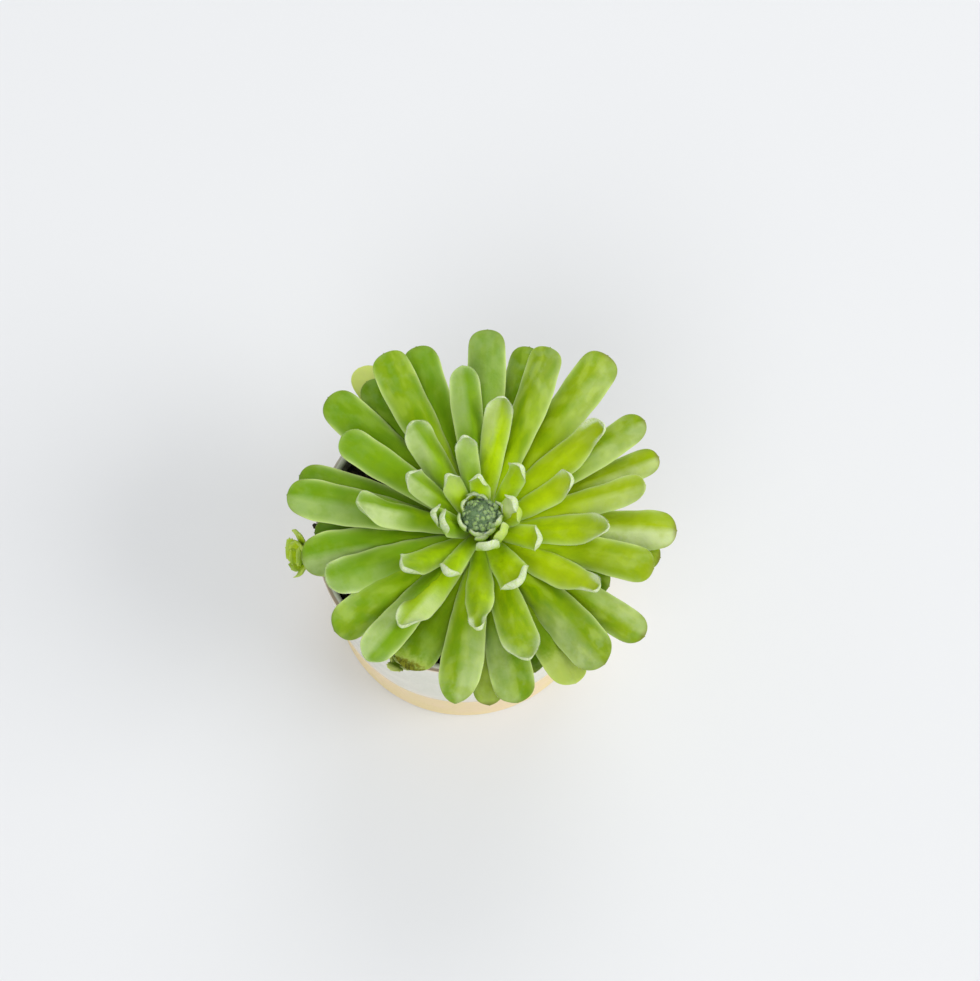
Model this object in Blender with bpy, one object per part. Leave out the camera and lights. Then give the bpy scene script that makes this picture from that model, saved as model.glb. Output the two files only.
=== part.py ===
"""Potted houseleek: one large rosette and two small offsets in potting mix, in a 12 cm ceramic pot.

Metres, +Z up. The origin is the centre of the pot's flat underside. The photograph looks down on the
plant from -Y, so -Y is the near side and +X is the photograph's right.
"""
import math

import bmesh
import bpy
from mathutils import Matrix, Vector, noise

MM = 0.001

# The pot: white glaze above a bare clay foot.
RIM_RADIUS = 60.0 * MM
POT_HEIGHT = 90.0 * MM
FOOT_RADIUS = 57.6 * MM
FOOT_CHAMFER = 1.2 * MM
GLAZE_EDGE_HEIGHT = 31.0 * MM
GLAZE_STEP = 0.4 * MM
WALL = 3.6 * MM
FLOOR = 6.0 * MM
POT_SIDES = 56
RIM_STEPS = 6
TOUCHING_GAP = 0.3 * MM

# The potting mix, with a plain hole for each stem.
SOIL_HEIGHT = 82.0 * MM
SOIL_LUMP = 1.1 * MM
SOIL_LUMP_SPACING = 9.0 * MM
SOIL_DISH = 1.2 * MM
SOIL_SIDES = 40
SOIL_RINGS = 8
HOLE_SIDES = 16

# The main rosette grows round this axis, a little to the right of the pot's middle.
AXIS = Vector((7.5 * MM, -1.0 * MM, 0.0))
STEM_RADIUS = 5.0 * MM
STEM_DEPTH = 26.0 * MM
CROWN_PROFILE = ((5.0, 1.6), (8.0, 3.4), (10.2, 5.6), (9.4, 8.5), (7.2, 12.0), (4.0, 15.0), (1.5, 16.5))
CROWN_SIDES = 14

# Leaves are ranked from the bud outwards, each one a golden angle round from the last.
GOLDEN_ANGLE = 137.508
FIRST_LEAF_AZIMUTH = 39.0
LEAF_COUNT = 66
FULL_REACH_RANK = 36
INNER_REACH = 12.0 * MM
OUTER_REACH = 78.0 * MM
OLD_LEAF_RANK = 50
OLD_LEAF_SHORTENING = 16.0 * MM
INNER_WIDTH = 8.5 * MM
OUTER_WIDTH = 16.0 * MM
INNER_TIP_HEIGHT = POT_HEIGHT + 27.0 * MM
OUTER_TIP_HEIGHT = POT_HEIGHT + 6.0 * MM
FIRST_SINKING_RANK = 14
LAST_SINKING_RANK = 64
INNER_BASE = (2.5 * MM, SOIL_HEIGHT + 13.0 * MM)
OUTER_BASE = (8.5 * MM, SOIL_HEIGHT + 5.5 * MM)
LEAF_THICKNESS = 3.2 * MM
INNER_ARCH = -6.0
OUTER_ARCH = 14.0
TIP_CURL = 12.0
LEAF_CUP = 0.14

# What each leaf in the photograph adds to the rule: degrees of turn, millimetres of reach and of width.
LEAF_NUDGES = {
    0: (-21, 1, 0), 1: (5, 6, 0), 2: (0, 0, 0), 3: (0, 2, 0), 4: (14, 12, 0), 5: (0, 0, 0),
    6: (-12, 4, 0), 7: (-2, -4, 0), 8: (-4, 4, 0), 9: (0, -6, 0), 10: (2, -1, 0), 11: (-11, 6, -1),
    12: (-11, 25, 2), 13: (-7, 8, 0), 14: (-12, -1, -1), 15: (-5, -7, 0), 16: (1, 10, 0), 17: (-1, -4, -1),
    18: (-2, 6, 1), 19: (-8, -2, 0), 20: (1, -5, -1), 21: (-11, 7, 0), 22: (-9, -6, 0), 23: (1, -5, 0),
    24: (-3, 2, -1), 25: (-2, 9, 0), 26: (-4, 0, -4), 27: (-2, -2, -1), 28: (-2, -7, 0), 29: (0, 5, -2),
    30: (-1, -7, 0), 31: (-1, -3, -1), 32: (-2, 4, 0), 33: (6, 0, 1), 34: (-4, 0, -3), 35: (2, 0, 1),
    36: (-1, -1, 2), 37: (1, 3, -1), 38: (-5, -5, 0), 39: (-6, 0, 0), 40: (3, 3, 0), 41: (4, -2, 1),
    42: (-1, 9, 0), 43: (0, -5, 2), 44: (-6, 2, -2), 45: (1, 2, -1), 46: (3, -11, -1), 47: (-3, -1, -4),
    48: (4, -2, -2), 49: (2, -2, 0), 50: (2, 1, -2), 51: (0, -22, -3), 52: (1, -4, -2), 53: (-1, 7, -1),
    54: (8, 0, -3), 55: (0, -18, -3), 56: (2, -5, -3), 57: (0, -8, -3), 58: (0, -8, -3), 59: (-6, -20, -3),
    60: (0, -14, -3), 61: (-19, 10, -2), 62: (6, -2, -3), 63: (0, -8, -3), 64: (0, -8, -3), 65: (-3, -6, -3),
}
HIGH_RIDING_LEAF = 12
HIGH_RIDING_AS = 24

# The bud: small leaves that close over the growing point.
BUD_LEAF_COUNT = 16
BUD_INNER_BASE = (0.6 * MM, SOIL_HEIGHT + 12.0 * MM)
BUD_OUTER_BASE = (3.4 * MM, SOIL_HEIGHT + 12.0 * MM)
BUD_INNER_TIP = (0.9 * MM, POT_HEIGHT + 22.5 * MM)
BUD_OUTER_TIP = (8.2 * MM, POT_HEIGHT + 23.5 * MM)
BUD_INNER_WIDTH = 4.5 * MM
BUD_OUTER_WIDTH = 9.5 * MM
BUD_LEAF_THICKNESS = 1.7 * MM
BUD_ARCH = -20.0
BUD_CUP = 0.35

# A leaf's outline as shares of its length and width.
WIDEST_SHARE = 0.79
INNER_BASE_SHARE = 0.62
OUTER_BASE_SHARE = 0.38
BUD_BASE_SHARE = 0.8
LEAF_STATIONS = (0.0, 0.27, 0.56, 0.79, 0.915, 0.98)
SMALL_LEAF_STATIONS = (0.0, 0.35, 0.7, 0.93)
ACROSS = (-1.0, -0.5, 0.0, 0.5, 1.0)
MIDRIB_STEPS = 48

# The offsets, each on a runner that comes up through its own hole: where it grows, round the pot from
# +X, how far out its hole and its heart are, its heart's height, its lean outwards and its leaves.
OFFSETS = {
    "offset_left": {"azimuth": 191.0, "hole": 50.0 * MM, "heart": 64.0 * MM, "height": POT_HEIGHT + 4.2 * MM,
                    "lean": 62.0, "leaves": 12, "colour": (0.27, 0.45, 0.04)},
    "offset_front": {"azimuth": 245.0, "hole": 50.0 * MM, "heart": 56.0 * MM, "height": POT_HEIGHT + 1.6 * MM,
                     "lean": 28.0, "leaves": 12, "colour": (0.20, 0.22, 0.05)},
}
RUNNER_RADIUS = 1.3 * MM
RUNNER_DEPTH = 10.0 * MM
RUNNER_SIDES = 8
RUNNER_STEPS = 8
OFFSET_LEAF_WIDTH = 4.6 * MM
OFFSET_LEAF_THICKNESS = 1.5 * MM
OFFSET_INNER_TIP = (1.6 * MM, 6.2 * MM)
OFFSET_OUTER_TIP = (8.6 * MM, 3.0 * MM)
HEART_PROFILE = ((0.0, -1.8), (1.6, -1.0), (2.3, 0.4), (1.7, 2.2), (0.0, 3.6))
HOLE_GAP = 0.3 * MM


def smoothstep(value):
    """Ease from 0 to 1."""
    value = min(max(value, 0.0), 1.0)
    return value * value * (3.0 - 2.0 * value)


def mix(low, high, share):
    """The value a share of the way from low to high."""
    return low + (high - low) * share


def material(name, colour, roughness):
    """A plain Principled material."""
    new = bpy.data.materials.new(name)
    new.use_nodes = True
    shader = new.node_tree.nodes["Principled BSDF"]
    shader.inputs["Base Color"].default_value = (*colour, 1.0)
    shader.inputs["Roughness"].default_value = roughness
    shader.inputs["Metallic"].default_value = 0.0
    return new


def add_object(name, mesh, finish=None):
    """Link a mesh object, with its faces turned outwards."""
    shape = bmesh.new()
    shape.from_mesh(mesh)
    bmesh.ops.recalc_face_normals(shape, faces=shape.faces)
    shape.to_mesh(mesh)
    shape.free()
    new = bpy.data.objects.new(name, mesh)
    bpy.context.scene.collection.objects.link(new)
    if finish:
        mesh.materials.append(finish)
    return new


def turned(name, profile, sides, axis=Vector()):
    """A solid of revolution; the profile runs from the axis, round the section and back to the axis."""
    mesh = bpy.data.meshes.new(name)
    points, faces, rings = [], [], []
    for radius, height in profile:
        ring = []
        count = sides if radius > 0.0 else 1
        for side in range(count):
            angle = 2.0 * math.pi * side / sides
            ring.append(len(points))
            points.append(axis + Vector((radius * math.cos(angle), radius * math.sin(angle), height)))
        rings.append(ring)
    for lower, upper in zip(rings, rings[1:]):
        for side in range(sides):
            following = (side + 1) % sides
            corners = [lower[side % len(lower)], lower[following % len(lower)],
                       upper[following % len(upper)], upper[side % len(upper)]]
            faces.append(list(dict.fromkeys(corners)))
    mesh.from_pydata(points, [], faces)
    return add_object(name, mesh)


def union(core, pieces, name):
    """Fuse the pieces to their core by one Boolean union on a collection, and apply it."""
    group = bpy.data.collections.new(name + "_pieces")
    bpy.context.scene.collection.children.link(group)
    for piece in pieces:
        bpy.context.scene.collection.objects.unlink(piece)
        group.objects.link(piece)
    join = core.modifiers.new("union", "BOOLEAN")
    join.operation = "UNION"
    join.operand_type = "COLLECTION"
    join.collection = group
    bpy.context.view_layer.update()
    fused = core.evaluated_get(bpy.context.evaluated_depsgraph_get())
    mesh = bpy.data.meshes.new_from_object(fused)
    core.modifiers.clear()
    core.data = mesh
    for piece in pieces:
        bpy.data.objects.remove(piece)
    bpy.data.collections.remove(group)
    core.name = name
    return core


def pot_outer_radius(height):
    """Outside radius of the glazed wall at a height: a straight flare from foot to rim."""
    return mix(FOOT_RADIUS, RIM_RADIUS, height / POT_HEIGHT)


def pot_inner_radius(height):
    """Inside radius of the pot at a height."""
    return pot_outer_radius(height) - WALL


def build_pot():
    """The ceramic pot: flat underside, bare foot band, glaze step, flared wall and rounded rim."""
    lip = WALL / 2.0
    lip_height = POT_HEIGHT - lip
    lip_middle = pot_outer_radius(lip_height) - lip
    profile = [
        (0.0, 0.0),
        (FOOT_RADIUS - FOOT_CHAMFER, 0.0),
        (FOOT_RADIUS, FOOT_CHAMFER),
        (pot_outer_radius(GLAZE_EDGE_HEIGHT) - GLAZE_STEP, GLAZE_EDGE_HEIGHT - GLAZE_STEP),
        (pot_outer_radius(GLAZE_EDGE_HEIGHT), GLAZE_EDGE_HEIGHT),
    ]
    for step in range(RIM_STEPS + 1):
        angle = math.pi * step / RIM_STEPS
        profile.append((lip_middle + lip * math.cos(angle), lip_height + lip * math.sin(angle)))
    profile += [(pot_inner_radius(FLOOR), FLOOR), (0.0, FLOOR)]
    pot = turned("pot", profile, POT_SIDES)
    pot.data.materials.append(material("glazed_clay", (0.72, 0.71, 0.66), 0.35))
    pot.data.shade_smooth()
    pot.data.set_sharp_from_angle(angle=math.radians(40.0))
    return pot


def soil_surface(x, y):
    """Height of the potting mix, lumpy, and a little lower against the wall."""
    place = Vector((x, y, 0.0)) / SOIL_LUMP_SPACING
    reach = math.hypot(x, y) / pot_inner_radius(SOIL_HEIGHT)
    return SOIL_HEIGHT + SOIL_LUMP * noise.noise(place) - SOIL_DISH * reach ** 4


def build_soil(stems):
    """The potting mix inside the pot, with a plain hole for each (x, y, radius, bottom) stem."""
    mesh = bpy.data.meshes.new("soil")
    points, faces = [], []
    edge = pot_inner_radius(SOIL_HEIGHT) - TOUCHING_GAP
    points.append(Vector((0.0, 0.0, soil_surface(0.0, 0.0))))
    for ring in range(1, SOIL_RINGS + 1):
        radius = edge * ring / SOIL_RINGS
        for side in range(SOIL_SIDES):
            angle = 2.0 * math.pi * side / SOIL_SIDES
            x, y = radius * math.cos(angle), radius * math.sin(angle)
            points.append(Vector((x, y, soil_surface(x, y))))
    bottom_radius = pot_inner_radius(FLOOR) - TOUCHING_GAP
    for side in range(SOIL_SIDES):
        angle = 2.0 * math.pi * side / SOIL_SIDES
        points.append(Vector((bottom_radius * math.cos(angle), bottom_radius * math.sin(angle),
                              FLOOR + TOUCHING_GAP)))
    for side in range(SOIL_SIDES):
        following = (side + 1) % SOIL_SIDES
        faces.append((0, 1 + side, 1 + following))
        for ring in range(SOIL_RINGS):
            start = 1 + ring * SOIL_SIDES
            a, b = start + side, start + following
            c, d = b + SOIL_SIDES, a + SOIL_SIDES
            faces += [(a, b, c), (a, c, d)]
    last = 1 + SOIL_RINGS * SOIL_SIDES
    faces.append(tuple(range(last, last + SOIL_SIDES)))
    mesh.from_pydata(points, [], faces)
    soil = add_object("soil", mesh, material("potting_mix", (0.018, 0.014, 0.011), 0.95))
    for number, (x, y, radius, bottom) in enumerate(stems):
        top = SOIL_HEIGHT + 10.0 * MM
        cutter = turned(f"stem_hole_{number}", [(0.0, bottom), (radius, bottom), (radius, top), (0.0, top)],
                        HOLE_SIDES, Vector((x, y, 0.0)))
        cutter.hide_render = True
        cutter.display_type = "WIRE"
        cut = soil.modifiers.new(f"hole_{number}", "BOOLEAN")
        cut.operation = "DIFFERENCE"
        cut.object = cutter
    return soil


def midrib(base, tip, arch, curl):
    """Points and directions along a leaf in its own upright plane, as (reach, height) pairs.

    The leaf is an arc from base to tip that starts arch degrees steeper than the straight line, and its
    last part turns up by curl degrees.
    """
    rise, run = tip[1] - base[1], tip[0] - base[0]
    slope, bend = math.atan2(rise, run), math.radians(arch)
    length = math.hypot(rise, run) * (bend / math.sin(bend) if abs(bend) > 1e-6 else 1.0)
    points, angles = [base], []
    for step in range(MIDRIB_STEPS + 1):
        share = step / MIDRIB_STEPS
        hook = max(0.0, (share - 0.84) / 0.16)
        angle = slope + bend * (1.0 - 2.0 * share) + math.radians(curl) * hook * hook
        angles.append(angle)
        last = points[-1]
        points.append((last[0] + math.cos(angle) * length / MIDRIB_STEPS,
                       last[1] + math.sin(angle) * length / MIDRIB_STEPS))
    return points, angles


def outline(share, base_share):
    """Half width of a leaf, as a share of its greatest half width."""
    if share < WIDEST_SHARE:
        return mix(base_share, 1.0, smoothstep(share / WIDEST_SHARE) ** 0.9)
    beyond = (share - WIDEST_SHARE) / (1.0 - WIDEST_SHARE)
    return math.sqrt(max(0.0, 1.0 - beyond ** 2.3))


def section(half_width, thickness, cup):
    """A leaf's cross-section as (sideways, upwards) pairs: flat above, keeled below, edges cupped up."""
    def middle(across):
        return cup * half_width * across * across

    def depth(across):
        return thickness * (1.0 - abs(across) ** 2.2)

    upper = [(across * half_width, middle(across) + 0.35 * depth(across)) for across in ACROSS]
    lower = [(across * half_width, middle(across) - 0.65 * depth(across)) for across in ACROSS[-2:0:-1]]
    return upper + lower


def build_leaf(name, azimuth, base, tip, width, thickness, arch, curl, cup, base_share, stations):
    """One leaf as a closed solid, in the frame of its rosette: rings of the section and a pointed tip."""
    path, angles = midrib(base, tip, arch, curl)
    sideways = Vector((-math.sin(azimuth), math.cos(azimuth), 0.0))
    outwards = Vector((math.cos(azimuth), math.sin(azimuth), 0.0))
    upwards = Vector((0.0, 0.0, 1.0))
    points, faces = [], []
    for share in stations:
        step = round(share * MIDRIB_STEPS)
        angle = angles[step]
        centre = outwards * path[step][0] + upwards * path[step][1]
        normal = upwards * math.cos(angle) - outwards * math.sin(angle)
        half_width = 0.5 * width * outline(share, base_share)
        body = thickness * min(1.0, 0.3 + 1.1 * outline(share, 0.6)) * min(1.0, (1.05 - share) / 0.3 + 0.35)
        for side, lift in section(half_width, body, cup):
            points.append(centre + sideways * side + normal * lift)
    around = len(points) // len(stations)
    point = path[MIDRIB_STEPS]
    points.append(outwards * point[0] + upwards * (point[1] + 0.25 * thickness * cup))
    for ring in range(len(stations) - 1):
        for side in range(around):
            following = (side + 1) % around
            a, b = ring * around + side, ring * around + following
            faces += [(a, b, b + around), (a, b + around, a + around)]
    last = (len(stations) - 1) * around
    for side in range(around):
        faces.append((last + side, last + (side + 1) % around, len(points) - 1))
    for side in range(1, around - 1):
        faces.append((0, side + 1, side))
    mesh = bpy.data.meshes.new(name)
    mesh.from_pydata(points, [], faces)
    return add_object(name, mesh)


def leaf_size(rank):
    """Azimuth, base, tip, width, arch and base share of a leaf of the main rosette, by its rank."""
    turn, more_reach, more_width = LEAF_NUDGES[rank]
    azimuth = math.radians(FIRST_LEAF_AZIMUTH + GOLDEN_ANGLE * rank + turn)
    age = rank / (LEAF_COUNT - 1)
    grown = smoothstep(rank / FULL_REACH_RANK)
    old = max(0.0, (rank - OLD_LEAF_RANK) / (LEAF_COUNT - OLD_LEAF_RANK))
    reach = mix(INNER_REACH, OUTER_REACH, grown) - OLD_LEAF_SHORTENING * old + more_reach * MM
    height_rank = HIGH_RIDING_AS if rank == HIGH_RIDING_LEAF else rank
    sinking = (height_rank - FIRST_SINKING_RANK) / (LAST_SINKING_RANK - FIRST_SINKING_RANK)
    tip_height = mix(INNER_TIP_HEIGHT, OUTER_TIP_HEIGHT, smoothstep(sinking))
    base = (mix(INNER_BASE[0], OUTER_BASE[0], math.sqrt(age)), mix(INNER_BASE[1], OUTER_BASE[1], age))
    width = mix(INNER_WIDTH, OUTER_WIDTH, grown) + more_width * MM
    return (azimuth, base, (reach, tip_height), width, mix(INNER_ARCH, OUTER_ARCH, grown),
            mix(INNER_BASE_SHARE, OUTER_BASE_SHARE, grown))


def build_rosette():
    """The main plant: a short stem and crown, the leaves of the spiral and the bud in its middle."""
    foot = SOIL_HEIGHT - STEM_DEPTH
    profile = [(0.0, foot), (STEM_RADIUS * 0.8, foot)]
    profile += [(radius * MM, SOIL_HEIGHT + height * MM) for radius, height in CROWN_PROFILE]
    profile.append((0.0, profile[-1][1] + 0.5 * MM))
    core = turned("rosette", profile, CROWN_SIDES)
    leaves = []
    for rank in range(LEAF_COUNT):
        azimuth, base, tip, width, arch, base_share = leaf_size(rank)
        thickness = LEAF_THICKNESS * mix(0.75, 1.0, smoothstep(rank / FULL_REACH_RANK))
        leaves.append(build_leaf(f"leaf_{rank}", azimuth, base, tip, width, thickness, arch, TIP_CURL,
                                 LEAF_CUP, base_share, LEAF_STATIONS))
    for rank in range(BUD_LEAF_COUNT):
        share = (rank + 1) / BUD_LEAF_COUNT
        azimuth = math.radians(FIRST_LEAF_AZIMUTH - GOLDEN_ANGLE * (BUD_LEAF_COUNT - rank))
        base = [mix(inner, outer, share) for inner, outer in zip(BUD_INNER_BASE, BUD_OUTER_BASE)]
        tip = [mix(inner, outer, share) for inner, outer in zip(BUD_INNER_TIP, BUD_OUTER_TIP)]
        width = mix(BUD_INNER_WIDTH, BUD_OUTER_WIDTH, share)
        leaves.append(build_leaf(f"bud_leaf_{rank}", azimuth, base, tip, width, BUD_LEAF_THICKNESS,
                                 BUD_ARCH, TIP_CURL, BUD_CUP, BUD_BASE_SHARE, SMALL_LEAF_STATIONS))
    rosette = union(core, leaves, "rosette")
    rosette.data.transform(Matrix.Translation(AXIS))
    rosette.data.materials.clear()
    rosette.data.materials.append(material("leaf", (0.23, 0.37, 0.06), 0.45))


def runner_path(hole, heart, lean):
    """Points up the middle of a runner: straight out of its hole, then over towards the offset's heart."""
    mouth = Vector((hole, 0.0, SOIL_HEIGHT))
    end = Vector((heart[0], 0.0, heart[1]))
    span = (end - mouth).length
    rising = mouth + Vector((0.0, 0.0, 0.55 * span))
    arriving = end - Vector((math.sin(lean), 0.0, math.cos(lean))) * 0.4 * span
    points = [mouth - Vector((0.0, 0.0, RUNNER_DEPTH))]
    for step in range(RUNNER_STEPS + 1):
        share = step / RUNNER_STEPS
        rest = 1.0 - share
        points.append(rest ** 3 * mouth + 3.0 * rest * rest * share * rising
                      + 3.0 * rest * share * share * arriving + share ** 3 * end)
    return points


def runner(name, points):
    """A round runner along points in the XZ plane, with flat ends."""
    corners, faces = [], []
    for number, point in enumerate(points):
        before, after = points[max(number - 1, 0)], points[min(number + 1, len(points) - 1)]
        along = (after - before).normalized()
        across = Vector((along.z, 0.0, -along.x))
        for side in range(RUNNER_SIDES):
            angle = 2.0 * math.pi * side / RUNNER_SIDES
            around = across * math.cos(angle) + Vector((0.0, math.sin(angle), 0.0))
            corners.append(point + around * RUNNER_RADIUS)
    for ring in range(len(points) - 1):
        for side in range(RUNNER_SIDES):
            following = (side + 1) % RUNNER_SIDES
            a, b = ring * RUNNER_SIDES + side, ring * RUNNER_SIDES + following
            faces.append((a, b, b + RUNNER_SIDES, a + RUNNER_SIDES))
    faces.append(tuple(range(RUNNER_SIDES)))
    faces.append(tuple(range(len(corners) - RUNNER_SIDES, len(corners))))
    mesh = bpy.data.meshes.new(name)
    mesh.from_pydata(corners, [], faces)
    return add_object(name, mesh)


def build_offset(name, azimuth, hole, heart, height, lean, leaves, colour):
    """A small rosette on its runner, which leans outwards over the rim."""
    lean = math.radians(lean)
    core = runner(name, runner_path(hole, (heart, height), lean))
    place = Matrix.Translation((heart, 0.0, height)) @ Matrix.Rotation(lean, 4, "Y")
    knob = turned(name + "_heart", [(radius * MM, level * MM) for radius, level in HEART_PROFILE], RUNNER_SIDES)
    knob.data.transform(place)
    pieces = [knob]
    for rank in range(leaves):
        share = (rank + 1) / leaves
        tip = [mix(inner, outer, share) for inner, outer in zip(OFFSET_INNER_TIP, OFFSET_OUTER_TIP)]
        base = (mix(0.2, 0.7, share) * MM, mix(0.2, -0.9, share) * MM)
        leaf = build_leaf(f"{name}_leaf_{rank}", math.radians(GOLDEN_ANGLE * rank), base, tip,
                          OFFSET_LEAF_WIDTH * mix(0.7, 1.0, share), OFFSET_LEAF_THICKNESS,
                          mix(-15.0, 5.0, share), TIP_CURL, LEAF_CUP, INNER_BASE_SHARE, SMALL_LEAF_STATIONS)
        leaf.data.transform(place)
        pieces.append(leaf)
    offset = union(core, pieces, name)
    offset.data.transform(Matrix.Rotation(math.radians(azimuth), 4, "Z"))
    offset.data.materials.clear()
    offset.data.materials.append(material(name + "_leaf", colour, 0.45))


def main():
    """Build the pot, the mix and the plants."""
    for old in list(bpy.data.objects):
        bpy.data.objects.remove(old)
    build_pot()
    build_rosette()
    stems = [(AXIS.x, AXIS.y, STEM_RADIUS + HOLE_GAP, SOIL_HEIGHT - STEM_DEPTH - HOLE_GAP)]
    for name, offset in OFFSETS.items():
        build_offset(name, **offset)
        azimuth = math.radians(offset["azimuth"])
        stems.append((offset["hole"] * math.cos(azimuth), offset["hole"] * math.sin(azimuth),
                      RUNNER_RADIUS + HOLE_GAP, SOIL_HEIGHT - RUNNER_DEPTH - HOLE_GAP))
    build_soil(stems)


main()
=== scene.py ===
"""Looks of the potted houseleek: fine fleshy leaves, their down, the potting mix and the glazed pot.

Metres, +Z up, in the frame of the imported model. The camera looks down on the plant from -Y.
"""
import math

import bmesh
import bpy
import numpy as np
from mathutils import Matrix, Vector, noise


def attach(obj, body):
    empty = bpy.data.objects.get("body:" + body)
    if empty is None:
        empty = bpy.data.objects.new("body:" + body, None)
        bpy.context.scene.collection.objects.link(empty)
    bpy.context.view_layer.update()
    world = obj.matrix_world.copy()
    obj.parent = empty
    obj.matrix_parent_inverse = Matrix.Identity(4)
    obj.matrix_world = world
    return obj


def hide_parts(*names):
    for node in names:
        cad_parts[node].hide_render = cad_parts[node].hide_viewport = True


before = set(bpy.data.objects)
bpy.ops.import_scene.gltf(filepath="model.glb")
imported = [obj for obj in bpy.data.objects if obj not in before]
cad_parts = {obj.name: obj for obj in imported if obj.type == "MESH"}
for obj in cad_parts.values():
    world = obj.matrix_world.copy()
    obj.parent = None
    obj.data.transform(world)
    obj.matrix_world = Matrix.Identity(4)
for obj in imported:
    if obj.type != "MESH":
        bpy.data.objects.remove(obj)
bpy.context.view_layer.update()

MM = 0.001
SEED = 20

# The camera, fitted to the pot's rim and base.
CAMERA_PLACE = (0.01109, -0.24084, 0.84744)
CAMERA_TILT = 18.773
PHOTO_WIDTH = 980
FOCAL_PIXELS = 1954.17
SENSOR_WIDTH = 36

# The pot.
RIM_RADIUS = 60 * MM
POT_HEIGHT = 90 * MM
FOOT_RADIUS = 57.6 * MM
FOOT_CHAMFER = 1.2 * MM
GLAZE_EDGE_HEIGHT = 31 * MM
GLAZE_STEP = 0.4 * MM
WALL = 3.6 * MM
FLOOR = 6 * MM
POT_SIDES = 192
GLAZE_EDGE_WAVE = 0.7 * MM
CLAY_RING_DEPTH = 0.12 * MM
CLAY_RING_SPACING = 3.1 * MM
GLAZE_SWELL = 0.05 * MM
GLAZE_SWELL_SPACING = 14 * MM
GLAZE_SWELL_START = 9 * MM
GLAZE_WAVE_END = 20 * MM
BROWN_LIP_AZIMUTH = math.radians(262)

# The rounded edge of the glaze: millimetres above the edge, and how far inside the line of the wall.
GLAZE_EDGE_PROFILE = ((-0.7, 0.40), (-0.25, 0.38), (-0.05, 0.25), (0.1, 0.05), (0.4, -0.12), (0.9, -0.16),
                      (1.6, -0.08), (2.6, 0))

# The potting mix.
SOIL_HEIGHT = 82 * MM
SOIL_LUMP = 1.1 * MM
SOIL_LUMP_SPACING = 9 * MM
SOIL_CRUMB = 0.55 * MM
SOIL_CRUMB_SPACING = 2.6 * MM
SOIL_DISH = 1.2 * MM
SOIL_FOOT_INSET = 2.4 * MM
SOIL_SIDES = 150
SOIL_RINGS = 60
TOUCHING_GAP = 0.3 * MM

# The main rosette: its axis, and its leaves, ranked from the bud outwards a golden angle apart. A pair is
# the value at the bud and the value furthest out.
AXIS = Vector((7.5 * MM, -1 * MM, 0))
STEM_RADIUS = 5 * MM
STEM_DEPTH = 26 * MM
CROWN_PROFILE = ((5, 1.6), (8, 3.4), (10.2, 5.6), (9.4, 8.5), (7.2, 12), (4, 15), (1.5, 16.5))
CROWN_SIDES = 40
GOLDEN_ANGLE = 137.508
FIRST_LEAF_AZIMUTH = 39
LEAF_COUNT = 66
FULL_REACH_RANK = 36
REACH = (12 * MM, 78 * MM)
OLD_LEAF_RANK = 50
OLD_LEAF_SHORTENING = 16 * MM
WIDTH = (8.5 * MM, 16 * MM)
TIP_HEIGHT = (POT_HEIGHT + 27 * MM, POT_HEIGHT + 6 * MM)
FIRST_SINKING_RANK = 14
LAST_SINKING_RANK = 64
BASE_REACH = (2.5 * MM, 8.5 * MM)
BASE_HEIGHT = (SOIL_HEIGHT + 13 * MM, SOIL_HEIGHT + 5.5 * MM)
LEAF_THICKNESS = 3.2 * MM
ARCH = (-6, 14)
CAD_TIP_CURL = 12
LEAF_CUP = 0.03
BASE_SHARE = (0.62, 0.38)

# What each leaf in the photograph adds to the rule: degrees of turn, millimetres of reach and of width. They
# are in order of rank, six to a row.
LEAF_NUDGES = (
    (-21, 1, 0), (5, 6, 0), (0, 0, 0), (0, 2, 0), (14, 12, 0), (0, 0, 0),
    (-12, 4, 0), (-2, -4, 0), (-4, 4, 0), (0, -6, 0), (2, -1, 0), (-11, 6, -1),
    (-11, 25, 2), (-7, 8, 0), (-12, -1, -1), (-5, -7, 0), (1, 10, 0), (-1, -4, -1),
    (-2, 6, 1), (-8, -2, 0), (1, -5, -1), (-11, 7, 0), (-9, -6, 0), (1, -5, 0),
    (-3, 2, -1), (-2, 9, 0), (-4, 0, -4), (-2, -2, -1), (-2, -7, 0), (0, 5, -2),
    (-1, -7, 0), (-1, -3, -1), (-2, 4, 0), (6, 0, 1), (-4, 0, -3), (2, 0, 1),
    (-1, -1, 2), (1, 3, -1), (-5, -5, 0), (-6, 0, 0), (3, 3, 0), (4, -2, 1),
    (-1, 9, 0), (0, -5, 2), (-6, 2, -2), (1, 2, -1), (3, -11, -1), (-3, -1, -4),
    (4, -2, -2), (2, -2, 0), (2, 1, -2), (0, -22, -3), (1, -4, -2), (-1, 7, -1),
    (8, 0, -3), (0, -18, -3), (2, -5, -3), (0, -8, -3), (0, -8, -3), (-6, -20, -3),
    (0, -14, -3), (-19, 10, -2), (6, -2, -3), (0, -8, -3), (0, -8, -3), (-3, -6, -3),
)

# One leaf's tip lies as low as that of a later rank.
LOW_LEAF = 12
LOW_LEAF_AS = 24

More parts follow.
